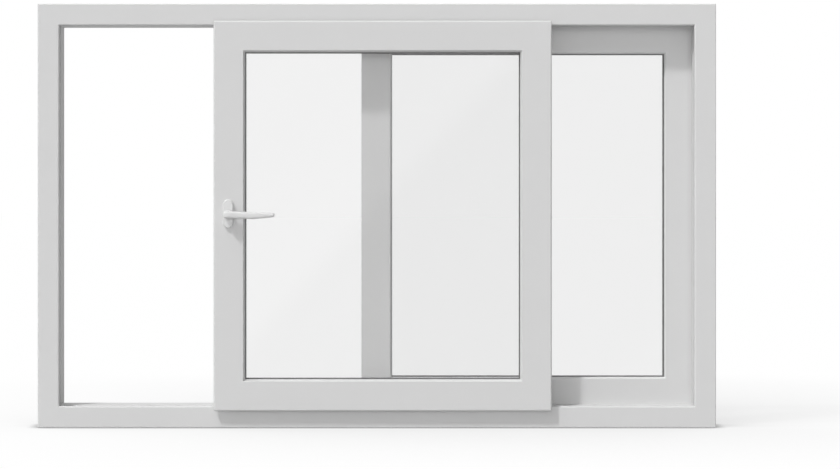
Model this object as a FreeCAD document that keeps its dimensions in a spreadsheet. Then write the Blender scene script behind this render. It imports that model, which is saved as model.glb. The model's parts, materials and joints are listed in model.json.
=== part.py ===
# Horizontal sliding window: outer frame, one fixed sash, one sliding sash with a lever handle.
# X runs along the width, Y from the room side to the outside, Z up. Lengths are in millimetres.
# The origin lies at the middle of the sill's underside.

import math
import os

import FreeCAD
import Part
import Sketcher

doc = FreeCAD.newDocument("sliding_window")

# Driving dimensions
SIZES = {
    "window_width": 1600,
    "window_height": 1000,
    "frame_depth": 100,
    "frame_face": 51,
    "frame_round": 4,
    "edge_round": 2.5,
    "track_setback": 12,
    "track_width": 22,
    "track_depth": 16,
    "rail_height": 14,
    "rail_rib": 4,
    "rail_crest": 1.6,
    "rail_base": 2,
    "rail_clear": 1,
    "rebate_depth": 7,
    "fixed_setback": 57,
    "fixed_face": 71.5,
    "fixed_lip": 7,
    "fixed_slope": 5,
    "sash_face": 73.8,
    "sash_proud": 20,
    "sash_depth": 62,
    "sash_round": 4,
    "sash_lip": 13,
    "sash_lap": 10,
    "sash_air": 12,
    "sash_opened": 375,
    "upstand": 20,
    "sash_slope": 10,
    "groove_width": 18,
    "groove_depth": 14,
    "slope_width": 3.5,
    "glazing_rebate": 17,
    "glazing_packer": 5,
    "seal_thick": 2.5,
    "seal_show": 1.5,
    "pane_thick": 4,
    "pane_gap": 16,
    "spacer_height": 10,
    "lip_seal": 2,
    "carriage_inset": 130,
    "carriage_length": 90,
    "carriage_drop": 7,
    "carriage_nose": 10.5,
    "wheel_rim": 11,
    "wheel_root": 9.5,
    "wheel_width": 10,
    "wheel_clear": 1,
    "axle_radius": 2.5,
    "running_gap": 0.3,
    "guide_length": 50,
    "guide_width": 12,
    "guide_hold": 3,
    "guide_slot": 9,
    "infill_ease": 1,
    "meeting_width": 30,
    "meeting_base": 3,
    "meeting_pile": 10,
    "meeting_thick": 9,
    "faceplate_length": 700,
    "faceplate_width": 20,
    "faceplate_thick": 2.5,
    "handle_height": 505,
    "handle_inset": 35,
    "plate_width": 24,
    "plate_height": 67,
    "plate_thick": 8,
    "plate_bevel": 2,
    "hub_radius": 9.5,
    "hub_top": 7,
    "hub_rise": 10,
    "lever_standoff": 13,
    "lever_front": 33,
    "lever_back": 10.5,
    "lever_reach": 110,
    "lever_round": 4.5,
    "heel_length": 14,
    "heel_rise": 6.8,
    "heel_fall": 10,
    "grip_start": 40,
    "grip_back": 18,
    "belly_start": 58,
    "belly_fall": 12.5,
    "tip_rise": 2.5,
    "tip_fall": 8,
    "tip_back": 20.5,
    "tip_front": 31.5,
}

sheet = doc.addObject("Spreadsheet::Sheet", "Sizes")
for row, (name, amount) in enumerate(SIZES.items(), 1):
    sheet.set("A%d" % row, name)
    sheet.set("B%d" % row, str(amount))
    sheet.setAlias("B%d" % row, name)

# Dimensions that follow from the driving ones
DERIVED = {
    "frame_front": "-frame_depth / 2",
    "half_width": "window_width / 2",
    "opening_half": "half_width - frame_face",
    "opening_height": "window_height - 2 * frame_face",
    "track_middle": "track_setback + track_width / 2",
    "sash_front": "frame_front - sash_proud",
    "fixed_sight": "fixed_face + seal_show",
    "sash_closed_left": "-opening_half - sash_lap",
    "sash_width": "fixed_sight / 2 + opening_half + sash_lap",
    "sash_height": "opening_height + 2 * sash_lap",
    "sash_left": "sash_closed_left + sash_opened",
    "sash_middle": "sash_left + sash_width / 2",
    "sash_bottom": "frame_face - sash_lap",
    "sash_body_inset": "sash_lap + sash_air",
    "sash_groove": "sash_proud + track_middle - groove_width / 2",
    "unit_thick": "2 * pane_thick + pane_gap",
    "sash_unit": "upstand + seal_thick",
    "sash_bead": "sash_unit + unit_thick + seal_thick",
    "fixed_depth": "frame_depth - fixed_setback",
    "fixed_front": "frame_front + fixed_setback",
    "fixed_outer": "frame_face - rebate_depth",
    "fixed_left": "-fixed_sight / 2",
    "fixed_right": "half_width - fixed_outer",
    "fixed_width": "fixed_right - fixed_left",
    "fixed_middle": "(fixed_left + fixed_right) / 2",
    "fixed_height": "window_height - 2 * fixed_outer",
    "fixed_unit": "fixed_lip + seal_thick",
    "fixed_bead": "fixed_unit + unit_thick + seal_thick",
    "rail_foot": "frame_face - track_depth",
    "rail_top": "rail_foot + rail_height",
    "rail_y": "frame_front + track_middle",
    "body_bottom": "sash_bottom + sash_body_inset",
    "body_top": "window_height - body_bottom",
    "wheel_centre": "rail_top + running_gap + wheel_root",
    "handle_x": "sash_left + handle_inset",
}
for row, (name, formula) in enumerate(DERIVED.items(), len(SIZES) + 1):
    sheet.set("A%d" % row, name)
    sheet.set("B%d" % row, "=" + formula)
    sheet.setAlias("B%d" % row, name)
working = doc.addObject("Spreadsheet::Sheet", "Working")
doc.recompute()


def bound(formula):
    """Write a formula of the sheet's names so that other objects can use it."""
    words = ""
    token = ""
    for letter in formula + " ":
        if letter.isalnum() or letter == "_":
            token += letter
            continue
        if token in SIZES or token in DERIVED:
            token = "Sizes." + token
        words += token + letter
        token = ""
    return words.strip()


def value(formula):
    """Work a formula of the sheet's names out as a number."""
    working.set("A1", "=" + bound(formula))
    working.recompute()
    return float(working.get("A1"))


def bind(item, prop, formula):
    item.setExpression(prop, bound(formula))


def place(item, x="0", y="0", z="0"):
    """Tie an object's position to the sheet."""
    for axis, formula in zip("xyz", (x, y, z)):
        bind(item, "Placement.Base." + axis, formula)


NORMAL = FreeCAD.Vector(0, 0, 1)
NODES = []


def node(item, label):
    item.Label = label
    NODES.append(item)
    return item


def new_body(label):
    body = doc.addObject("PartDesign::Body", label)
    return node(body, label)


def new_sketch(body, role, label):
    sketch = body.newObject("Sketcher::SketchObject", label)
    plane = [item for item in body.Origin.OriginFeatures if item.Role == role][0]
    sketch.AttachmentSupport = [(plane, "")]
    sketch.MapMode = "FlatFace"
    return sketch


def pin(sketch, line, across, up):
    """Hold the start of a line at a place given by two formulas."""
    for kind, axis, formula in (("DistanceX", -2, across), ("DistanceY", -1, up)):
        amount = value(formula)
        if abs(amount) < 1e-9 and formula == "0":
            sketch.addConstraint(Sketcher.Constraint("PointOnObject", line, 1, axis))
            continue
        index = sketch.addConstraint(Sketcher.Constraint(kind, -1, 1, line, 1, amount))
        bind(sketch, "Constraints[%d]" % index, formula)


def polygon(sketch, corners):
    """Draw a closed outline whose corners are pairs of formulas."""
    first = sketch.GeometryCount
    count = len(corners)
    spots = [FreeCAD.Vector(value(across), value(up), 0) for across, up in corners]
    for step in range(count):
        line = Part.LineSegment(spots[step], spots[(step + 1) % count])
        sketch.addGeometry(line, False)
    for step in range(count):
        following = first + (step + 1) % count
        sketch.addConstraint(Sketcher.Constraint("Coincident", first + step, 2, following, 1))
    for step, (across, up) in enumerate(corners):
        pin(sketch, first + step, across, up)


def rectangle(sketch, left, right, low, high):
    polygon(sketch, [(left, low), (right, low), (right, high), (left, high)])


def pad(body, sketch, length, symmetric=False, label="Pad"):
    feature = body.newObject("PartDesign::Pad", label)
    feature.Profile = sketch
    bind(feature, "Length", length)
    if symmetric:
        feature.SideType = "Symmetric"
    doc.recompute()
    body.Tip = feature
    return feature


def pocket(body, sketch, label="Pocket"):
    """Cut a sketch right through on both sides."""
    before = body.Shape.Volume
    feature = body.newObject("PartDesign::Pocket", label)
    feature.Profile = sketch
    feature.Type = "ThroughAll"
    feature.SideType = "Symmetric"
    doc.recompute()
    body.Tip = feature
    if feature.Shape.Volume > before - 1e-3:
        raise RuntimeError(body.Label + ": the cut " + label + " took nothing away")
    return feature


def fillet(body, base, edges, radius, label="Rounding"):
    feature = body.newObject("PartDesign::Fillet", label)
    feature.Base = (base, edges)
    bind(feature, "Radius", radius)
    doc.recompute()
    body.Tip = feature
    return feature


def chamfer(body, base, edges, size, label="Bevel"):
    feature = body.newObject("PartDesign::Chamfer", label)
    feature.Base = (base, edges)
    bind(feature, "Size", size)
    doc.recompute()
    body.Tip = feature
    return feature


def long_edges(feature, spots):
    """Name the edges along X that pass through the given places of a profile."""
    wanted = [(value(across), value(up)) for across, up in spots]
    names = []
    for index, edge in enumerate(feature.Shape.Edges, 1):
        box = edge.BoundBox
        if box.XLength < 1 or box.YLength > 1e-4 or box.ZLength > 1e-4:
            continue
        for across, up in wanted:
            if abs(box.YMin - across) < 1e-3 and abs(box.ZMin - up) < 1e-3:
                names.append("Edge%d" % index)
    return names


# Bars of one profile, cut at 45 degrees and set round a rectangle
SIDES = {
    "bottom": 0,
    "left": 90,
    "top": 180,
    "right": 270,
}


def bar(label, profile, roundings, side, ring, reach):
    """One mitred bar. The profile runs in depth from the front and inwards from the outer edge."""
    length = ring["width"] if side in ("bottom", "top") else ring["height"]
    body = new_body(label)
    sketch = new_sketch(body, "YZ_Plane", "Profile")
    polygon(sketch, profile)
    feature = pad(body, sketch, length, True, "Bar")
    for radius, spots in roundings:
        feature = fillet(body, feature, long_edges(feature, spots), radius)
    mitre = new_sketch(body, "XZ_Plane", "Mitre")
    half = "(%s) / 2" % length
    for sign in ("-", ""):
        inner = "%s(%s - %s)" % (sign, half, reach)
        outer = "%s(%s)" % (sign, half)
        polygon(mitre, [(outer, "0"), (outer, reach), (inner, reach)])
    pocket(body, mitre, "MitreCut")
    body.Placement.Rotation = FreeCAD.Rotation(FreeCAD.Vector(0, 1, 0), SIDES[side])
    spots = {
        "bottom": (ring["x"], ring["low"]),
        "top": (ring["x"], "%s + %s" % (ring["low"], ring["height"])),
        "left": ("%s - (%s) / 2" % (ring["x"], ring["width"]), None),
        "right": ("%s + (%s) / 2" % (ring["x"], ring["width"]), None),
    }
    across, up = spots[side]
    if up is None:
        up = "%s + (%s) / 2" % (ring["low"], ring["height"])
    place(body, across, ring["front"], up)
    return body


def ring_of_bars(labels, profile, roundings, ring, reach):
    for side, label in labels.items():
        bar(label, profile, roundings, side, ring, reach)


# Outer frame
FRAME_RING = {
    "x": "0",
    "low": "0",
    "width": "window_width",
    "height": "window_height",
    "front": "frame_front",
}
TRACK_END = "track_setback + track_width"
TRACK_FLOOR = "frame_face - track_depth"
FRAME_PROFILE = [
    ("0", "0"),
    ("frame_depth", "0"),
    ("frame_depth", "fixed_outer"),
    ("fixed_setback", "fixed_outer"),
    ("fixed_setback", "frame_face"),
    (TRACK_END, "frame_face"),
    (TRACK_END, TRACK_FLOOR),
    ("track_setback", TRACK_FLOOR),
    ("track_setback", "frame_face"),
    ("0", "frame_face"),
]
FRAME_ROUNDINGS = [
    ("frame_round", [("0", "frame_face")]),
    ("edge_round", [
        ("0", "0"),
        ("frame_depth", "0"),
        ("track_setback", "frame_face"),
        (TRACK_END, "frame_face"),
    ]),
]
FRAME_LABELS = {
    "bottom": "frame_sill",
    "left": "frame_left_jamb",
    "top": "frame_head",
    "right": "frame_right_jamb",
}
ring_of_bars(FRAME_LABELS, FRAME_PROFILE, FRAME_ROUNDINGS, FRAME_RING, "frame_face")


# Sliding sash
SASH_RING = {
    "x": "sash_middle",
    "low": "sash_bottom",
    "width": "sash_width",
    "height": "sash_height",
    "front": "sash_front",
}
GROOVE_END = "sash_groove + groove_width"
GROOVE_TOP = "sash_body_inset + groove_depth"
SASH_FLOOR = "sash_face - glazing_rebate"
SASH_PROFILE = [
    ("0", "0"),
    ("sash_lip", "0"),
    ("sash_lip", "sash_body_inset"),
    ("sash_groove", "sash_body_inset"),
    ("sash_groove", GROOVE_TOP),
    (GROOVE_END, GROOVE_TOP),
    (GROOVE_END, "sash_body_inset"),
    ("sash_depth", "sash_body_inset"),
    ("sash_depth", SASH_FLOOR),
    ("upstand", SASH_FLOOR),
    ("upstand", "sash_face"),
    ("sash_slope", "sash_face"),
    ("0", "sash_face - slope_width"),
]
SASH_ROUNDINGS = [
    ("sash_round", [("0", "0")]),
    ("edge_round", [
        ("sash_lip", "0"),
        ("sash_depth", "sash_body_inset"),
        ("0", "sash_face - slope_width"),
        ("sash_slope", "sash_face"),
    ]),
]
SASH_LABELS = {
    "bottom": "sash_bottom_rail",
    "left": "sash_lock_stile",
    "top": "sash_top_rail",
    "right": "sash_meeting_stile",
}
ring_of_bars(SASH_LABELS, SASH_PROFILE, SASH_ROUNDINGS, SASH_RING, "sash_face")


# Fixed sash
FIXED_RING = {
    "x": "fixed_middle",
    "low": "fixed_outer",
    "width": "fixed_width",
    "height": "fixed_height",
    "front": "fixed_front",
}
FIXED_FLOOR = "fixed_face - glazing_rebate"
FIXED_PROFILE = [
    ("0", "0"),
    ("fixed_depth", "0"),
    ("fixed_depth", FIXED_FLOOR),
    ("fixed_lip", FIXED_FLOOR),
    ("fixed_lip", "fixed_face"),
    ("fixed_slope", "fixed_face"),
    ("0", "fixed_face - slope_width"),
]
FIXED_ROUNDINGS = [
    ("edge_round", [("0", "fixed_face - slope_width"), ("fixed_depth", "0")]),
]
FIXED_LABELS = {
    "bottom": "fixed_bottom_rail",
    "left": "fixed_meeting_stile",
    "top": "fixed_top_rail",
    "right": "fixed_outer_stile",
}
ring_of_bars(FIXED_LABELS, FIXED_PROFILE, FIXED_ROUNDINGS, FIXED_RING, "fixed_face")


# Glazing beads on the outside of both sashes
def beads(prefix, ring, face, depth, start):
    bead_ring = dict(ring)
    inset = "(%s - glazing_rebate)" % face
    bead_ring["low"] = "%s + %s" % (ring["low"], inset)
    bead_ring["width"] = "%s - 2 * %s" % (ring["width"], inset)
    bead_ring["height"] = "%s - 2 * %s" % (ring["height"], inset)
    bead_ring["front"] = "%s + %s" % (ring["front"], start)
    thick = "(%s - %s)" % (depth, start)
    profile = [
        ("0", "0"),
        (thick, "0"),
        (thick, "glazing_rebate - slope_width"),
        ("%s / 2" % thick, "glazing_rebate"),
        ("0", "glazing_rebate"),
    ]
    roundings = [("edge_round / 2", [(thick, "glazing_rebate - slope_width")])]
    labels = {
        "bottom": prefix + "_bead_bottom",
        "left": prefix + "_bead_left",
        "top": prefix + "_bead_top",
        "right": prefix + "_bead_right",
    }
    ring_of_bars(labels, profile, roundings, bead_ring, "glazing_rebate")


beads("sash", SASH_RING, "sash_face", "sash_depth", "sash_bead")
beads("fixed", FIXED_RING, "fixed_face", "fixed_depth", "fixed_bead")


# Flat rings: glazing seals, spacer and lip seal
def flat_ring(label, ring, outer, inner, start, thick):
    body = new_body(label)
    sketch = new_sketch(body, "XZ_Plane", "Ring")
    for inset in (outer, inner):
        across = "((%s) / 2 - (%s))" % (ring["width"], inset)
        up = "((%s) / 2 - (%s))" % (ring["height"], inset)
        rectangle(sketch, "-" + across, across, "-" + up, up)
    pad(body, sketch, thick, True, "Strip")
    middle = "%s + %s + (%s) / 2" % (ring["front"], start, thick)
    place(body, ring["x"], middle, "%s + (%s) / 2" % (ring["low"], ring["height"]))
    return body


def pane(label, ring, inset, start):
    sheet_glass = doc.addObject("Part::Box", label)
    node(sheet_glass, label)
    bind(sheet_glass, "Length", "%s - 2 * (%s)" % (ring["width"], inset))
    bind(sheet_glass, "Height", "%s - 2 * (%s)" % (ring["height"], inset))
    bind(sheet_glass, "Width", "pane_thick")
    left = "%s - (%s) / 2 + %s" % (ring["x"], ring["width"], inset)
    place(sheet_glass, left, "%s + %s" % (ring["front"], start), "%s + %s" % (ring["low"], inset))


def glazing(prefix, ring, face, unit):
    edge = "(%s - glazing_rebate + glazing_packer)" % face
    cover = "(%s - glazing_rebate / 2)" % face
    sight = "(%s + seal_show)" % face
    back = "(%s + pane_thick + pane_gap)" % unit
    pane(prefix + "_room_pane", ring, edge, unit)
    pane(prefix + "_outer_pane", ring, edge, back)
    flat_ring(prefix + "_spacer", ring, edge, "%s + spacer_height" % edge, unit + " + pane_thick", "pane_gap")
    flat_ring(prefix + "_room_seal", ring, cover, sight, unit + " - seal_thick", "seal_thick")
    flat_ring(prefix + "_outer_seal", ring, cover, sight, back + " + pane_thick", "seal_thick")


glazing("sash", SASH_RING, "sash_face", "sash_unit")
glazing("fixed", FIXED_RING, "fixed_face", "fixed_unit")
flat_ring("sash_lip_seal", SASH_RING, "sash_lap / 2", "sash_lap", "sash_lip", "lip_seal")


# Aluminium rails in the tracks of the sill and the head
def track_rail(label, turned, height):
    body = new_body(label)
    sketch = new_sketch(body, "YZ_Plane", "Section")
    foot = "(track_width / 2 - rail_clear)"
    rib = "(rail_rib / 2)"
    polygon(sketch, [
        ("-" + foot, "0"),
        (foot, "0"),
        (foot, "rail_base"),
        (rib, "rail_base"),
        (rib, "rail_height"),
        ("-" + rib, "rail_height"),
        ("-" + rib, "rail_base"),
        ("-" + foot, "rail_base"),
    ])
    bar_pad = pad(body, sketch, "2 * (opening_half - rail_clear)", True, "Rail")
    crest = long_edges(bar_pad, [(rib, "rail_height"), ("-" + rib, "rail_height")])
    fillet(body, bar_pad, crest, "rail_crest", "Crest")
    body.Placement.Rotation = FreeCAD.Rotation(FreeCAD.Vector(1, 0, 0), turned)
    place(body, "0", "rail_y", height)


track_rail("sill_rail", 0, "rail_foot")
track_rail("head_rail", 180, "window_height - rail_foot")


# Strips that fill the rear rebate beside the fixed sash
def infill(label, x, z, length, height):
    strip = doc.addObject("Part::Box", label + "_block")
    bind(strip, "Length", length)
    bind(strip, "Width", "fixed_depth")
    bind(strip, "Height", height)
    place(strip, x, "fixed_front", z)
    doc.recompute()
    edges = []
    for index, edge in enumerate(strip.Shape.Edges, 1):
        box = edge.BoundBox
        if abs(box.YMax - strip.Shape.BoundBox.YMax) < 1e-3 and box.YLength < 1e-3:
            edges.append((index, value("infill_ease"), value("infill_ease")))
    eased = doc.addObject("Part::Chamfer", label)
    eased.Base = strip
    eased.Edges = edges
    node(eased, label)


infill("infill_jamb", "fixed_outer - half_width", "fixed_outer", "rebate_depth", "fixed_height")
infill("infill_sill", "-opening_half", "fixed_outer", "fixed_left + opening_half", "rebate_depth")
HEAD_LOW = "window_height - frame_face"
infill("infill_head", "-opening_half", HEAD_LOW, "fixed_left + opening_half", "rebate_depth")


# Roller carriages under the sliding sash
def revolve(body, sketch, label):
    feature = body.newObject("PartDesign::Revolution", label)
    feature.Profile = sketch
    feature.ReferenceAxis = (sketch, ["V_Axis"])
    feature.Angle = 360
    doc.recompute()
    body.Tip = feature
    return feature


CARRIAGE_HIGH = "(groove_depth + carriage_drop)"
WHEEL_UP = "(wheel_centre - body_bottom + carriage_drop)"


def carriage(label, x):
    body = new_body(label)
    sketch = new_sketch(body, "XZ_Plane", "Side")
    half = "(carriage_length / 2)"
    polygon(sketch, [
        ("-(%s - carriage_nose)" % half, "0"),
        ("%s - carriage_nose" % half, "0"),
        (half, "carriage_nose"),
        (half, CARRIAGE_HIGH),
        ("-" + half, CARRIAGE_HIGH),
        ("-" + half, "carriage_nose"),
    ])
    pad(body, sketch, "groove_width", True, "Block")
    slot = new_sketch(body, "XY_Plane", "WheelSlot")
    for sign in ("-", ""):
        near = "%s(carriage_length / 4 - wheel_rim - wheel_clear)" % sign
        far = "%s(carriage_length / 4 + wheel_rim + wheel_clear)" % sign
        rectangle(slot, near, far, "-(wheel_width + wheel_clear) / 2", "(wheel_width + wheel_clear) / 2")
    pocket(body, slot, "WheelSlots")
    pins = new_sketch(body, "XZ_Plane", "Axles")
    for step, sign in enumerate(("-", "")):
        across = sign + "carriage_length / 4"
        centre = FreeCAD.Vector(value(across), value(WHEEL_UP), 0)
        pins.addGeometry(Part.Circle(centre, NORMAL, value("axle_radius")), False)
        for kind, formula in (("DistanceX", across), ("DistanceY", WHEEL_UP)):
            index = pins.addConstraint(Sketcher.Constraint(kind, -1, 1, step, 3, value(formula)))
            bind(pins, "Constraints[%d]" % index, formula)
        index = pins.addConstraint(Sketcher.Constraint("Radius", step, value("axle_radius")))
        bind(pins, "Constraints[%d]" % index, "axle_radius")
    pad(body, pins, "groove_width", True, "AxlePins")
    place(body, x, "rail_y", "body_bottom - carriage_drop")


def wheel(label, x):
    """A nylon wheel with a groove that runs on the rail's rib."""
    body = new_body(label)
    sketch = new_sketch(body, "XY_Plane", "Section")
    half = "(wheel_width / 2)"
    groove = "(rail_rib / 2 + running_gap)"
    bore = "(axle_radius + running_gap / 2)"
    polygon(sketch, [
        (bore, "-" + half),
        ("wheel_rim", "-" + half),
        ("wheel_rim", "-" + groove),
        ("wheel_root", "-" + groove),
        ("wheel_root", groove),
        ("wheel_rim", groove),
        ("wheel_rim", half),
        (bore, half),
    ])
    revolve(body, sketch, "Wheel")
    place(body, x, "rail_y", "wheel_centre")


CARRIAGES = {
    "left": "sash_left + carriage_inset",
    "right": "sash_left + sash_width - carriage_inset",
}
for hand, middle in CARRIAGES.items():
    carriage("carriage_" + hand, middle)
    wheel("wheel_%s_a" % hand, middle + " - carriage_length / 4")
    wheel("wheel_%s_b" % hand, middle + " + carriage_length / 4")


# Guide shoes on top of the sliding sash, one each side of the head rail's rib
def guide(label, x):
    body = new_body(label)
    sketch = new_sketch(body, "YZ_Plane", "Section")
    half = "(guide_width / 2)"
    slot = "(rail_rib / 2 + 2 * running_gap)"
    crown = "(window_height - rail_top - body_top + guide_hold)"
    polygon(sketch, [
        ("-" + half, "-groove_depth"),
        (half, "-groove_depth"),
        (half, crown),
        (slot, crown),
        (slot, "%s - guide_slot" % crown),
        ("-" + slot, "%s - guide_slot" % crown),
        ("-" + slot, crown),
        ("-" + half, crown),
    ])
    shoe = pad(body, sketch, "guide_length", True, "Shoe")
    tops = long_edges(shoe, [(half, crown), ("-" + half, crown)])
    fillet(body, shoe, tops, "edge_round")
    place(body, x, "rail_y", "body_top")


for hand, middle in CARRIAGES.items():
    guide("guide_" + hand, middle)


# Brush seal strip behind the sliding sash's meeting stile
seal = new_body("meeting_seal")
seal_sketch = new_sketch(seal, "XY_Plane", "Section")
polygon(seal_sketch, [
    ("-meeting_width / 2", "0"),
    ("meeting_width / 2", "0"),
    ("meeting_width / 2", "meeting_base"),
    ("meeting_pile / 2", "meeting_base"),
    ("meeting_pile / 2", "meeting_thick"),
    ("-meeting_pile / 2", "meeting_thick"),
    ("-meeting_pile / 2", "meeting_base"),
    ("-meeting_width / 2", "meeting_base"),
])
pad(seal, seal_sketch, "body_top - body_bottom - 2 * meeting_width", True, "Strip")
SEAL_X = "sash_left + sash_width - (sash_body_inset + sash_face - glazing_rebate) / 2"
place(seal, SEAL_X, "sash_front + sash_depth", "window_height / 2")


# Outlines with rounded ends
QUARTER = math.pi / 2


def slot_outline(sketch, width, height):
    """A tall outline with half-round ends."""
    reach = value("(%s) / 2" % width)
    rise = value("(%s - %s) / 2" % (height, width))
    for sign in (1, -1):
        circle = Part.Circle(FreeCAD.Vector(0, sign * rise, 0), NORMAL, reach)
        start = 0 if sign > 0 else 2 * QUARTER
        sketch.addGeometry(Part.ArcOfCircle(circle, start, start + 2 * QUARTER), False)
    for sign in (1, -1):
        low = FreeCAD.Vector(sign * reach, -sign * rise, 0)
        high = FreeCAD.Vector(sign * reach, sign * rise, 0)
        sketch.addGeometry(Part.LineSegment(low, high), False)
    for line, line_end, arc, arc_end in ((2, 2, 0, 1), (3, 1, 0, 2), (3, 2, 1, 1), (2, 1, 1, 2)):
        sketch.addConstraint(Sketcher.Constraint("Tangent", line, line_end, arc, arc_end))
    for arc in (0, 1):
        sketch.addConstraint(Sketcher.Constraint("PointOnObject", arc, 3, -2))
    index = sketch.addConstraint(Sketcher.Constraint("Radius", 0, reach))
    bind(sketch, "Constraints[%d]" % index, "(%s) / 2" % width)
    for arc, sign in ((0, ""), (1, "-")):
        formula = "%s(%s - %s) / 2" % (sign, height, width)
        index = sketch.addConstraint(Sketcher.Constraint("DistanceY", -1, 1, arc, 3, value(formula)))
        bind(sketch, "Constraints[%d]" % index, formula)


# Lock faceplate on the free edge of the lock stile
plate = new_body("lock_faceplate")
plate_sketch = new_sketch(plate, "YZ_Plane", "Outline")
slot_outline(plate_sketch, "faceplate_width", "faceplate_length")
pad(plate, plate_sketch, "faceplate_thick", True, "Plate")
place(plate, "sash_left + sash_body_inset - faceplate_thick / 2", "rail_y", "handle_height")


# Handle plate
def rim_edges(feature, depth):
    """Name the edges that lie wholly at one depth."""
    names = []
    for index, edge in enumerate(feature.Shape.Edges, 1):
        box = edge.BoundBox
        if abs(box.YMin - depth) < 1e-3 and abs(box.YMax - depth) < 1e-3:
            names.append("Edge%d" % index)
    return names


rose = new_body("handle_plate")
rose_sketch = new_sketch(rose, "XZ_Plane", "Outline")
slot_outline(rose_sketch, "plate_width", "plate_height")
rose_pad = pad(rose, rose_sketch, "plate_thick", False, "Plate")
chamfer(rose, rose_pad, rim_edges(rose_pad, -value("plate_thick")), "plate_bevel")
place(rose, "handle_x", "sash_front", "handle_height")


# Handle lever: a grip drawn in plan, trimmed in elevation and rounded, with a hub on the plate
lever = new_body("handle_lever")
lever_plan = new_sketch(lever, "XY_Plane", "Plan")
polygon(lever_plan, [
    ("-lever_back", "-lever_front"),
    ("lever_reach", "-tip_front"),
    ("lever_reach", "-tip_back"),
    ("grip_start", "-grip_back"),
    ("heel_length", "-lever_standoff"),
    ("-lever_back", "-lever_standoff"),
])
pad(lever, lever_plan, "2 * (belly_fall + lever_round)", True, "Grip")
trim = new_sketch(lever, "XZ_Plane", "Elevation")
CLEAR_HIGH = "(belly_fall + 2 * lever_round)"
CLEAR_LEFT = "-(lever_back + lever_round)"
CLEAR_RIGHT = "(lever_reach + lever_round)"
polygon(trim, [
    (CLEAR_LEFT, CLEAR_HIGH),
    (CLEAR_LEFT, "heel_rise"),
    ("-lever_back", "heel_rise"),
    ("lever_reach", "tip_rise"),
    (CLEAR_RIGHT, "tip_rise"),
    (CLEAR_RIGHT, CLEAR_HIGH),
])
polygon(trim, [
    (CLEAR_LEFT, "-" + CLEAR_HIGH),
    (CLEAR_RIGHT, "-" + CLEAR_HIGH),
    (CLEAR_RIGHT, "-tip_fall"),
    ("lever_reach", "-tip_fall"),
    ("belly_start", "-belly_fall"),
    ("-lever_back", "-heel_fall"),
    (CLEAR_LEFT, "-heel_fall"),
])
shaped = pocket(lever, trim, "Taper")
every_edge = ["Edge%d" % (index + 1) for index in range(len(shaped.Shape.Edges))]
fillet(lever, shaped, every_edge, "lever_round", "SoftEdges")
hub = new_sketch(lever, "XY_Plane", "Hub")
HUB_FOOT = "-(plate_thick + running_gap)"
HUB_TOP = "-(lever_standoff + hub_rise)"
polygon(hub, [
    ("0", HUB_FOOT),
    ("hub_radius", HUB_FOOT),
    ("hub_radius", "-lever_standoff"),
    ("hub_top", HUB_TOP),
    ("0", HUB_TOP),
])
revolve(lever, hub, "HubTurn")
place(lever, "handle_x", "sash_front", "handle_height")

doc.recompute()

# Checks and export
os.makedirs("parts", exist_ok=True)
for item in doc.Objects:
    states = " ".join(item.State)
    if "Invalid" in states or "Error" in states:
        raise RuntimeError(item.Label + " did not compute: " + states)
for item in NODES:
    if item.Shape.isNull() or not item.Shape.isValid():
        raise RuntimeError(item.Label + " has no sound shape")
    item.Shape.exportStep("parts/%s.step" % item.Label)
print(len(NODES), "nodes")
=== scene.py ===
import json
import math

import bpy
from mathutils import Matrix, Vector


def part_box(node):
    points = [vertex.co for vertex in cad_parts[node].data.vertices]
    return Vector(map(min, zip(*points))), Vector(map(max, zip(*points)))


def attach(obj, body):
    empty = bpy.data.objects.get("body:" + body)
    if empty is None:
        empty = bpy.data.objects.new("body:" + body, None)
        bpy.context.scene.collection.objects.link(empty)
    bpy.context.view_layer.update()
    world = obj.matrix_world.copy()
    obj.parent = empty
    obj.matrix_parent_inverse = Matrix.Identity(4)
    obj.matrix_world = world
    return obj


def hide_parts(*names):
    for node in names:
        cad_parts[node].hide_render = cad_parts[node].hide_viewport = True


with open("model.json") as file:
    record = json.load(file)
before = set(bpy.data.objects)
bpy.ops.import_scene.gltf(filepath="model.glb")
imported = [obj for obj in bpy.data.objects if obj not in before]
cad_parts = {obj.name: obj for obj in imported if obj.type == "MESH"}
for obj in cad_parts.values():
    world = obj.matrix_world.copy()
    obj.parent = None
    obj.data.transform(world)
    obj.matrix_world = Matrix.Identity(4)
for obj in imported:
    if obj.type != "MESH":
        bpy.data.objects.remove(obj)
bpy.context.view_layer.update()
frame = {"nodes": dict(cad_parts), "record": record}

# Picture size, the point that the camera faces and the row of the frame's top edge, in pixels
IMAGE_WIDTH = 840
IMAGE_HEIGHT = 469
FACED_X = 376.8
FACED_Y = 185.5
FRAME_TOP_ROW = 3.7

# Camera: its distance from the frame's front face, the scale there and the end of its view, in metres
CAMERA_DISTANCE = 6.1
METRES_PER_PIXEL = 0.0023578
VIEW_END = 200.0

# Width of the camera's sensor, in millimetres
SENSOR = 36.0

# Linear tones of the finishes
PVC_TONE = 0.645
HANDLE_TONE = 0.69
SEAL_TONE = 0.17
BRUSH_TONE = 0.12
NYLON_TONE = 0.05
ALUMINIUM_TONE = 0.62
ZINC_TONE = 0.58
ZINC_WARMTH = 0.015
GLASS_TONE = 0.962
GLASS_CLEAR = 0.985

# Faces of glass in one double unit
UNIT_FACES = 4

# Most values of a noise texture lie between these two
NOISE_LOW = 0.3
NOISE_HIGH = 0.7

# Depths of rays are whole numbers, so this tells some from none
SOME = 0.5

# Sun: the way its light travels, its strength, and its width in degrees
SUN_TRAVEL = (1.02, 1.0, -1.88)
SUN_STRENGTH = 1.86
SUN_ANGLE = 5.0

# Sky: its strength all round and in a bright spot in front, where the spot lies and its edge's cosine
SKY_LOW = 0.165
SKY_HIGH = 6.8
SKY_FRONT = (0.05, -0.98, 0.14)
SKY_EDGE = 0.96

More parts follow.
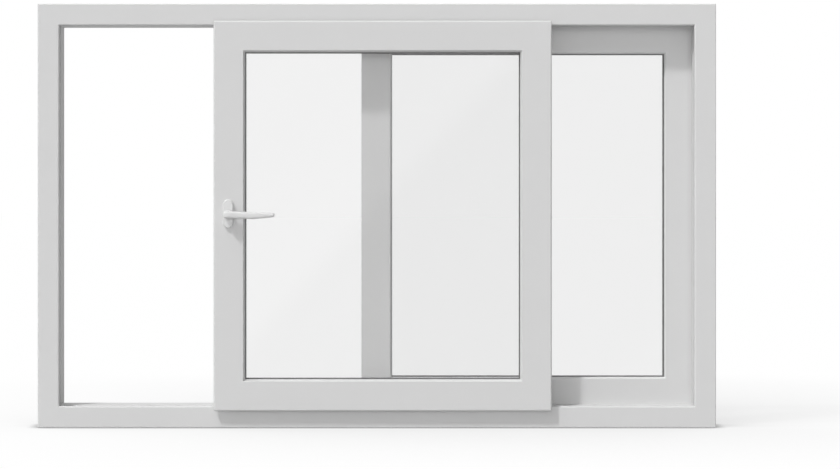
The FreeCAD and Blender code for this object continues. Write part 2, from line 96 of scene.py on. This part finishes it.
# Soft glow of the sky at the upper left: where it lies and its strength there
SKY_ABOVE = (-0.7, 0.15, 0.68)
SKY_TOP = 1.0

# Slanting bands in mirrors: the slant, where they start and end across it, and their places and tones
BAND_SLANT = (0.735, 0.0, -0.678)
BAND_START = -0.08
BAND_END = 0.15
BANDS = (
    (0.0, 0.66),
    (0.1, 0.7),
    (0.17, 0.67),
    (0.3, 0.72),
    (0.35, 0.71),
    (0.39, 0.53),
    (0.84, 0.54),
    (0.87, 0.58),
)

# Floor: its half width and how far the object's painted shade reaches on it, in metres, and its glow in
# that painted shade near the object and far from it
FLOOR_HALF = 40.0
FLOOR_REACH = 1.0
FLOOR_GLOW_IN_PAINTED_SHADE = 0.868
FLOOR_FAR = 0.952

# Painted soft shadow on the floor: the side that its light comes from, its reach in metres and its tone
PAINTED_SHADOW_SIDE = (-0.6, -0.7, 0.4)
PAINTED_SHADOW_REACH = 1.7
PAINTED_SHADOW_TONE = 0.79

# Painted shadow line where the object meets the floor: its reach in metres and its tone
PAINTED_CONTACT_REACH = 0.03
PAINTED_CONTACT_TONE = 0.5

# Tones of the floor for the sun's light that the eye sees on it, and for light that it throws back
FLOOR_PAINT = 0.04
FLOOR_BOUNCE = 0.45

# Share of the sky that a place on the floor sees, at its darkest and in the open
HALF_HIDDEN = 0.5
ALL_OPEN = 1.0

# Rays that test what hides the sky, and the way up
COVER_SAMPLES = 16
UP = (0, 0, 1)

# Rings of faces in a low relief
RELIEF_RINGS = 24

# Screws in the lock faceplate, in metres
SCREW_RADIUS = 0.0036
SCREW_RISE = 0.0011
SCREW_END = 0.016
CROSS_HALF = 0.0005
CROSS_REACH = 0.0022
CROSS_DEPTH = 0.0007

# Number of screws, corners round each and the power of its dome
SCREW_COUNT = 5
SCREW_STEPS = 72
SCREW_DOME = 4

# Drain caps on the outside of the sill, in metres
CAP_HALF = 0.024
CAP_RADIUS = 0.0075
CAP_RISE = 0.0055
CAP_UP = 0.018
CAP_PLACES = (-0.52, 0.0, 0.52)
MOUTH_HALF = 0.018
MOUTH_LOW = -0.0062
MOUTH_HIGH = -0.0022
MOUTH_DEPTH = 0.0042

# Corners round each cap and the powers of its rounded hood
CAP_STEPS = 96
CAP_CROWN = 6
CAP_SHOULDER = 0.4

# Lever's skin: its grain in metres, how often it is smoothed and how much each time
LEVER_GRAIN = 0.0008
LEVER_PASSES = 60
LEVER_SOFTNESS = 0.5


class Nodes:
    """Short forms for building one node tree."""

    def __init__(self, tree):
        self.tree = tree

    def add(self, kind, **settings):
        node = self.tree.nodes.new("ShaderNode" + kind)
        for name, value in settings.items():
            setattr(node, name, value)
        return node

    def link(self, source, target):
        self.tree.links.new(source, target)

    def calculate(self, operation, *values):
        """Work out a value from fixed numbers and other nodes' outputs."""
        node = self.add("Math", operation=operation)
        for socket, value in zip(node.inputs, values):
            if isinstance(value, float):
                socket.default_value = value
            else:
                self.link(value, socket)
        return node.outputs["Value"]

    def spread(self, value, low, high, source_low=NOISE_LOW, source_high=NOISE_HIGH):
        """Spread a value over a range."""
        node = self.add("MapRange")
        node.inputs["From Min"].default_value = source_low
        node.inputs["From Max"].default_value = source_high
        node.inputs["To Min"].default_value = low
        node.inputs["To Max"].default_value = high
        self.link(value, node.inputs["Value"])
        return node.outputs["Result"]

    def mix(self, factor, first, second):
        """Show the second shader in place of the first, by a factor."""
        blend = self.add("MixShader")
        self.link(factor, blend.inputs["Fac"])
        self.link(first, blend.inputs[1])
        self.link(second, blend.inputs[2])
        return blend.outputs["Shader"]

    def eye(self):
        """One for the rays that reach the eye, also through glass."""
        path = self.add("LightPath").outputs
        unlit = self.calculate("LESS_THAN", path["Diffuse Depth"], SOME)
        straight = self.calculate("LESS_THAN", path["Glossy Depth"], SOME)
        clear = self.calculate("MULTIPLY", unlit, straight)
        through = self.calculate("MULTIPLY", path["Is Transmission Ray"], clear)
        return self.calculate("MAXIMUM", path["Is Camera Ray"], through)

    def mirrored(self):
        """One for the rays that a surface mirrored, also where they have left the glass since."""
        path = self.add("LightPath").outputs
        inside = self.calculate("GREATER_THAN", path["Glossy Depth"], SOME)
        return self.calculate("MAXIMUM", path["Is Glossy Ray"], inside)


class Finish(Nodes):
    """One material's node tree."""

    def __init__(self, name):
        self.material = bpy.data.materials.new(name)
        self.material.use_nodes = True
        super().__init__(self.material.node_tree)
        self.shader = self.tree.nodes["Principled BSDF"]
        self.surface = self.tree.nodes["Material Output"].inputs["Surface"]

    def position(self, scale):
        """Place on the piece in metres, stretched by a scale on each axis."""
        place = self.add("TexCoord")
        stretch = self.add("Mapping")
        stretch.inputs["Scale"].default_value = scale
        self.link(place.outputs["Object"], stretch.inputs["Vector"])
        return stretch.outputs["Vector"]

    def noise(self, scale, detail=2.0, stretch=(1, 1, 1)):
        texture = self.add("TexNoise")
        texture.inputs["Scale"].default_value = scale
        texture.inputs["Detail"].default_value = detail
        self.link(self.position(stretch), texture.inputs["Vector"])
        return texture.outputs["Fac"]

    def lines(self, along, count, changes):
        """Fine lines along one axis: their count in a metre across, and their changes in a metre along."""
        stretch = [count, count, count]
        stretch["xyz".index(along)] = changes
        return self.noise(scale=1, detail=3, stretch=stretch)

    def ramp(self, value, low, high):
        """Blend between two colours."""
        blend = self.add("ValToRGB")
        first, last = blend.color_ramp.elements
        first.position = NOISE_LOW
        last.position = NOISE_HIGH
        first.color = (*low, 1)
        last.color = (*high, 1)
        self.link(value, blend.inputs["Fac"])
        return blend.outputs["Color"]

    def bump(self, height, strength, distance, below=None):
        relief = self.add("Bump")
        relief.inputs["Strength"].default_value = strength
        relief.inputs["Distance"].default_value = distance
        self.link(height, relief.inputs["Height"])
        if below is not None:
            self.link(below, relief.inputs["Normal"])
        return relief.outputs["Normal"]

    def set(self, **values):
        """Set the shader's own values. An underscore stands for a space in a name."""
        for name, value in values.items():
            self.shader.inputs[name.replace("_", " ")].default_value = value

    def feed(self, name, source):
        self.link(source, self.shader.inputs[name])

    def tint(self, value, tone, darkest, lightest, warm=0.0):
        """A base colour that varies between two shares of one tone."""
        self.feed("Base Color", self.ramp(value, grey(tone * darkest, warm), grey(tone * lightest, warm)))

    def roughen(self, value, low, high):
        """A roughness that varies between two values."""
        self.feed("Roughness", self.spread(value, low, high))


def grey(tone, warm=0.0):
    """A colour of one tone, with a little more red and less blue where it is warm."""
    return (tone * (1 + warm), tone, tone * (1 - warm))


def pvc(name, along):
    """Satin extruded plastic with faint draw lines along the bar."""
    finish = Finish(name)
    finish.tint(finish.noise(scale=9, detail=3), PVC_TONE, darkest=0.994, lightest=1.006)
    finish.roughen(finish.noise(scale=40, detail=3), low=0.4, high=0.5)
    draw = finish.bump(finish.lines(along, count=260, changes=1.5), strength=0.08, distance=0.0004)
    finish.feed("Normal", finish.bump(finish.noise(scale=900), strength=0.05, distance=0.0003, below=draw))
    finish.set(Specular_IOR_Level=0.7)
    return finish.material


def handle_coat(name):
    """White powder coat with a fine orange peel."""
    finish = Finish(name)
    finish.tint(finish.noise(scale=30, detail=3), HANDLE_TONE, darkest=0.985, lightest=1.0)
    finish.roughen(finish.noise(scale=160), low=0.38, high=0.48)
    finish.feed("Normal", finish.bump(finish.noise(scale=1400), strength=0.08, distance=0.0003))
    finish.set(Specular_IOR_Level=1.0, Coat_Weight=0.35, Coat_Roughness=0.25)
    return finish.material


def rubber(name, tone):
    """Dull moulded rubber or nylon with a fine grain."""
    finish = Finish(name)
    finish.tint(finish.noise(scale=60, detail=3), tone, darkest=0.8, lightest=1.2)
    finish.roughen(finish.noise(scale=200), low=0.5, high=0.7)
    finish.feed("Normal", finish.bump(finish.noise(scale=2500), strength=0.2, distance=0.0002))
    return finish.material


def pile(name, tone, along):
    """Upright fibres of a brush strip."""
    finish = Finish(name)
    fibres = finish.lines(along, count=2600, changes=40)
    finish.tint(fibres, tone, darkest=0.45, lightest=1.3)
    finish.feed("Normal", finish.bump(fibres, strength=0.7, distance=0.0006))
    finish.set(Roughness=0.85)
    return finish.material


def metal(name, tone, warm, along, low, high):
    """Drawn metal with fine lines along one axis, and a roughness from low to high."""
    finish = Finish(name)
    streak = finish.lines(along, count=700, changes=4)
    finish.tint(streak, tone, darkest=0.9, lightest=1.05, warm=warm)
    finish.roughen(finish.noise(scale=80, detail=3), low, high)
    finish.feed("Normal", finish.bump(streak, strength=0.12, distance=0.0002))
    finish.set(Metallic=1.0)
    return finish.material


def glass(name):
    """Clear float glass. Rays to lamps, from lit surfaces and past one whole unit go straight through."""
    finish = Finish(name)
    finish.set(Base_Color=(*grey(GLASS_TONE), 1), Roughness=0.0, IOR=1.5, Transmission_Weight=1.0)
    clear = finish.add("BsdfTransparent")
    clear.inputs["Color"].default_value = (*grey(GLASS_CLEAR), 1)
    path = finish.add("LightPath").outputs
    lit = finish.calculate("GREATER_THAN", path["Diffuse Depth"], SOME)
    second = finish.calculate("GREATER_THAN", path["Transmission Depth"], UNIT_FACES - SOME)
    behind = finish.calculate("MAXIMUM", lit, second)
    straight = finish.calculate("MAXIMUM", path["Is Shadow Ray"], behind)
    finish.link(finish.mix(straight, finish.shader.outputs[0], clear.outputs[0]), finish.surface)
    return finish.material


MATERIALS = {
    "pvc_x": pvc("pvc_along_width", along="x"),
    "pvc_z": pvc("pvc_along_height", along="z"),
    "handle_white": handle_coat("handle_coat"),
    "seal_black": rubber("glazing_rubber", SEAL_TONE),
    "brush_grey": pile("brush_pile", BRUSH_TONE, along="y"),
    "aluminium": metal("rail_aluminium", ALUMINIUM_TONE, warm=0.0, along="x", low=0.3, high=0.45),
    "nylon": rubber("moulded_nylon", NYLON_TONE),
    "zinc_steel": metal("zinc_plate", ZINC_TONE, ZINC_WARMTH, along="z", low=0.28, high=0.42),
    "glass": glass("float_glass"),
}


def dress_nodes():
    """Give every solid of the frame its finish. Draw lines on plastic run along its longer side."""
    slots = {part["node"]: part["material_slot"] for part in frame["record"]["subparts"]}
    for name, solid in frame["nodes"].items():
        finish = slots[name]
        if finish == "pvc_white":
            low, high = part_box(name)
            size = high - low
            finish = "pvc_x" if size.x > size.z else "pvc_z"
        solid.data.materials.clear()
        solid.data.materials.append(MATERIALS[finish])


def raised(name, outline, relief, place, material, steps):
    """A low shape on a surface: an outline, and a height at each place inside it."""
    spots = [(0.0, 0.0, 0.0)]
    for ring in range(1, RELIEF_RINGS + 1):
        share = ring / RELIEF_RINGS
        for step in range(steps):
            across, up = outline(2 * math.pi * step / steps)
            spots.append((across * share, up * share, share))
    faces = [(0, 1 + step, 1 + (step + 1) % steps) for step in range(steps)]
    for ring in range(RELIEF_RINGS - 1):
        near = 1 + ring * steps
        far = near + steps
        for step in range(steps):
            after = (step + 1) % steps
            faces.append((near + step, far + step, far + after, near + after))
    mesh = bpy.data.meshes.new(name)
    points = [place(across, up, relief(across, up, share)) for across, up, share in spots]
    mesh.from_pydata(points, [], faces)
    mesh.materials.append(MATERIALS[material])
    mesh.shade_smooth()
    piece = bpy.data.objects.new(name, mesh)
    bpy.context.scene.collection.objects.link(piece)
    return piece


def screw_outline(angle):
    """A circle."""
    return (SCREW_RADIUS * math.cos(angle), SCREW_RADIUS * math.sin(angle))


def screw_relief(across, up, share):
    """A low dome with a cross recess."""
    height = SCREW_RISE * math.sqrt(max(0.0, 1 - share ** SCREW_DOME))
    narrow, wide = sorted((abs(across), abs(up)))
    if narrow < CROSS_HALF and wide < CROSS_REACH:
        height -= CROSS_DEPTH
    return height


def make_screws():
    """Screws along the lock faceplate."""
    low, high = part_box("lock_faceplate")
    middle = (low.y + high.y) / 2
    pitch = (high.z - low.z - 2 * SCREW_END) / (SCREW_COUNT - 1)
    for number in range(SCREW_COUNT):
        height = low.z + SCREW_END + number * pitch

        def place(across, up, rise):
            return (low.x - rise, middle - across, height + up)

        name = "faceplate_screw_%d" % (number + 1)
        screw = raised(name, screw_outline, screw_relief, place, "zinc_steel", SCREW_STEPS)
        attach(screw, "sliding_sash")


def cap_outline(angle):
    """A bar with round ends."""
    shift = math.copysign(CAP_HALF - CAP_RADIUS, math.cos(angle))
    return (shift + CAP_RADIUS * math.cos(angle), CAP_RADIUS * math.sin(angle))


def cap_relief(across, up, share):
    """A rounded hood with a mouth along its lower edge."""
    height = CAP_RISE * max(0.0, 1 - share ** CAP_CROWN) ** CAP_SHOULDER
    if abs(across) < MOUTH_HALF and MOUTH_LOW < up < MOUTH_HIGH:
        height -= MOUTH_DEPTH
    return max(height, 0.0)


def make_drain_caps():
    """Caps over the drain slots on the outside of the sill."""
    low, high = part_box("frame_sill")
    for number, middle in enumerate(CAP_PLACES, 1):

        def place(across, up, rise):
            return (middle - across, high.y + rise, low.z + CAP_UP + up)

        cap = raised("drain_cap_%d" % number, cap_outline, cap_relief, place, "pvc_x", CAP_STEPS)
        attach(cap, "frame")


def make_lever():
    """The lever with its edges drawn out into a full round."""
    shape = frame["nodes"]["handle_lever"].data.copy()
    lever = bpy.data.objects.new("lever_grip", shape)
    bpy.context.scene.collection.objects.link(lever)
    skin = lever.modifiers.new("skin", "REMESH")
    skin.mode = "VOXEL"
    skin.voxel_size = LEVER_GRAIN
    skin.use_smooth_shade = True
    soft = lever.modifiers.new("soft", "SMOOTH")
    soft.factor = LEVER_SOFTNESS
    soft.iterations = LEVER_PASSES
    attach(lever, "lever")
    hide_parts("handle_lever")


def along(nodes, direction):
    """How far a ray points in one direction."""
    dot = nodes.add("VectorMath", operation="DOT_PRODUCT")
    dot.inputs[1].default_value = direction
    nodes.link(nodes.add("TexCoord").outputs["Generated"], dot.inputs[0])
    return dot.outputs["Value"]


def make_world():
    """White to the eye, slanting bands in mirrors, and a soft sky in front and above as the light."""
    world = bpy.data.worlds.new("studio")
    bpy.context.scene.world = world
    world.use_nodes = True
    nodes = Nodes(world.node_tree)

    ahead = along(nodes, Vector(SKY_FRONT).normalized())
    spot = nodes.spread(ahead, SKY_LOW, SKY_HIGH, source_low=SKY_EDGE, source_high=1.0)
    above = along(nodes, Vector(SKY_ABOVE).normalized())
    dome = nodes.spread(above, 0.0, SKY_TOP, source_low=0.0, source_high=1.0)
    light = nodes.add("Background")
    nodes.link(nodes.calculate("ADD", spot, dome), light.inputs["Strength"])

    bands = nodes.add("ValToRGB")
    stops = bands.color_ramp.elements
    while len(stops) < len(BANDS):
        stops.new(1.0)
    for stop, (place, tone) in zip(stops, BANDS):
        stop.position = place
        stop.color = (*grey(tone), 1)
    across = nodes.spread(along(nodes, BAND_SLANT), 0.0, 1.0, source_low=BAND_START, source_high=BAND_END)
    nodes.link(across, bands.inputs["Fac"])
    mirror = nodes.add("Background")
    nodes.link(bands.outputs["Color"], mirror.inputs["Color"])

    white = nodes.tree.nodes["Background"]
    for background in (white, light):
        background.inputs["Color"].default_value = (1, 1, 1, 1)
    white.inputs["Strength"].default_value = 1.0
    unseen = nodes.mix(nodes.mirrored(), light.outputs[0], mirror.outputs[0])
    surface = nodes.tree.nodes["World Output"].inputs["Surface"]
    nodes.link(nodes.mix(nodes.eye(), unseen, white.outputs[0]), surface)


def shade(finish, side, reach, dark, light=1.0):
    """Painted shade on the floor: dark where the object within reach hides half the sky on one side, light
    in the open.
    """
    facing = finish.add("CombineXYZ")
    for socket, value in zip(facing.inputs, Vector(side).normalized()):
        socket.default_value = value
    cover = finish.add("AmbientOcclusion", samples=COVER_SAMPLES)
    cover.inputs["Distance"].default_value = reach
    finish.link(facing.outputs["Vector"], cover.inputs["Normal"])
    return finish.spread(cover.outputs["AO"], dark, light, source_low=HALF_HIDDEN, source_high=ALL_OPEN)


def make_floor():
    """A white glowing floor with painted shade and a painted soft shadow near the object, which also keeps
    the sun's real shadow faintly. Mirrors don't show it.
    """
    mesh = bpy.data.meshes.new("floor")
    corners = [(-1, -1), (1, -1), (1, 1), (-1, 1)]
    mesh.from_pydata([(x * FLOOR_HALF, y * FLOOR_HALF, 0) for x, y in corners], [], [(0, 1, 2, 3)])
    floor = bpy.data.objects.new("floor", mesh)
    bpy.context.scene.collection.objects.link(floor)
    finish = Finish("floor_white")
    finish.set(Base_Color=(*grey(FLOOR_BOUNCE), 1), Roughness=0.9)
    # Painted shade near the object, a painted soft shadow and a painted dark line along the object's foot
    # darken the floor's glow
    near = shade(finish, UP, FLOOR_REACH, FLOOR_GLOW_IN_PAINTED_SHADE, FLOOR_FAR)
    # Painted soft shadow, darker on the side away from the light
    painted_soft_shadow = shade(finish, PAINTED_SHADOW_SIDE, PAINTED_SHADOW_REACH, PAINTED_SHADOW_TONE)
    # Painted dark shadow line along the object's foot
    painted_contact_shadow = shade(finish, UP, PAINTED_CONTACT_REACH, PAINTED_CONTACT_TONE)
    shadow = finish.calculate("MULTIPLY", painted_soft_shadow, painted_contact_shadow)
    glow = finish.add("Emission")
    finish.link(finish.calculate("MULTIPLY", near, shadow), glow.inputs["Strength"])
    paint = finish.add("BsdfDiffuse")
    paint.inputs["Color"].default_value = (*grey(FLOOR_PAINT), 1)
    seen = finish.add("AddShader")
    finish.link(glow.outputs[0], seen.inputs[0])
    finish.link(paint.outputs[0], seen.inputs[1])
    clear = finish.add("BsdfTransparent")
    unseen = finish.mix(finish.mirrored(), finish.shader.outputs[0], clear.outputs[0])
    finish.link(finish.mix(finish.eye(), unseen, seen.outputs[0]), finish.surface)
    mesh.materials.append(finish.material)


def make_sun():
    """A sun from the upper left in front, for the hard shadows."""
    data = bpy.data.lights.new("key", "SUN")
    data.energy = SUN_STRENGTH
    data.angle = math.radians(SUN_ANGLE)
    sun = bpy.data.objects.new("key", data)
    sun.rotation_euler = Vector(SUN_TRAVEL).to_track_quat("-Z", "Y").to_euler()
    bpy.context.scene.collection.objects.link(sun)


def make_camera():
    """A level camera square to the window, framed by shift as in the photo."""
    low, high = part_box("frame_head")
    data = bpy.data.cameras.new("camera")
    data.sensor_width = SENSOR
    data.lens = SENSOR * CAMERA_DISTANCE / (IMAGE_WIDTH * METRES_PER_PIXEL)
    data.shift_x = (IMAGE_WIDTH / 2 - FACED_X) / IMAGE_WIDTH
    data.shift_y = (FACED_Y - IMAGE_HEIGHT / 2) / IMAGE_WIDTH
    data.clip_end = VIEW_END
    camera = bpy.data.objects.new("camera", data)
    height = high.z - (FACED_Y - FRAME_TOP_ROW) * METRES_PER_PIXEL
    camera.location = ((low.x + high.x) / 2, low.y - CAMERA_DISTANCE, height)
    camera.rotation_euler = (math.pi / 2, 0, 0)
    bpy.context.scene.collection.objects.link(camera)
    bpy.context.scene.camera = camera


dress_nodes()
make_screws()
make_drain_caps()
make_lever()
make_world()
make_floor()
make_sun()
make_camera()
bpy.context.scene.view_settings.view_transform = "Standard"
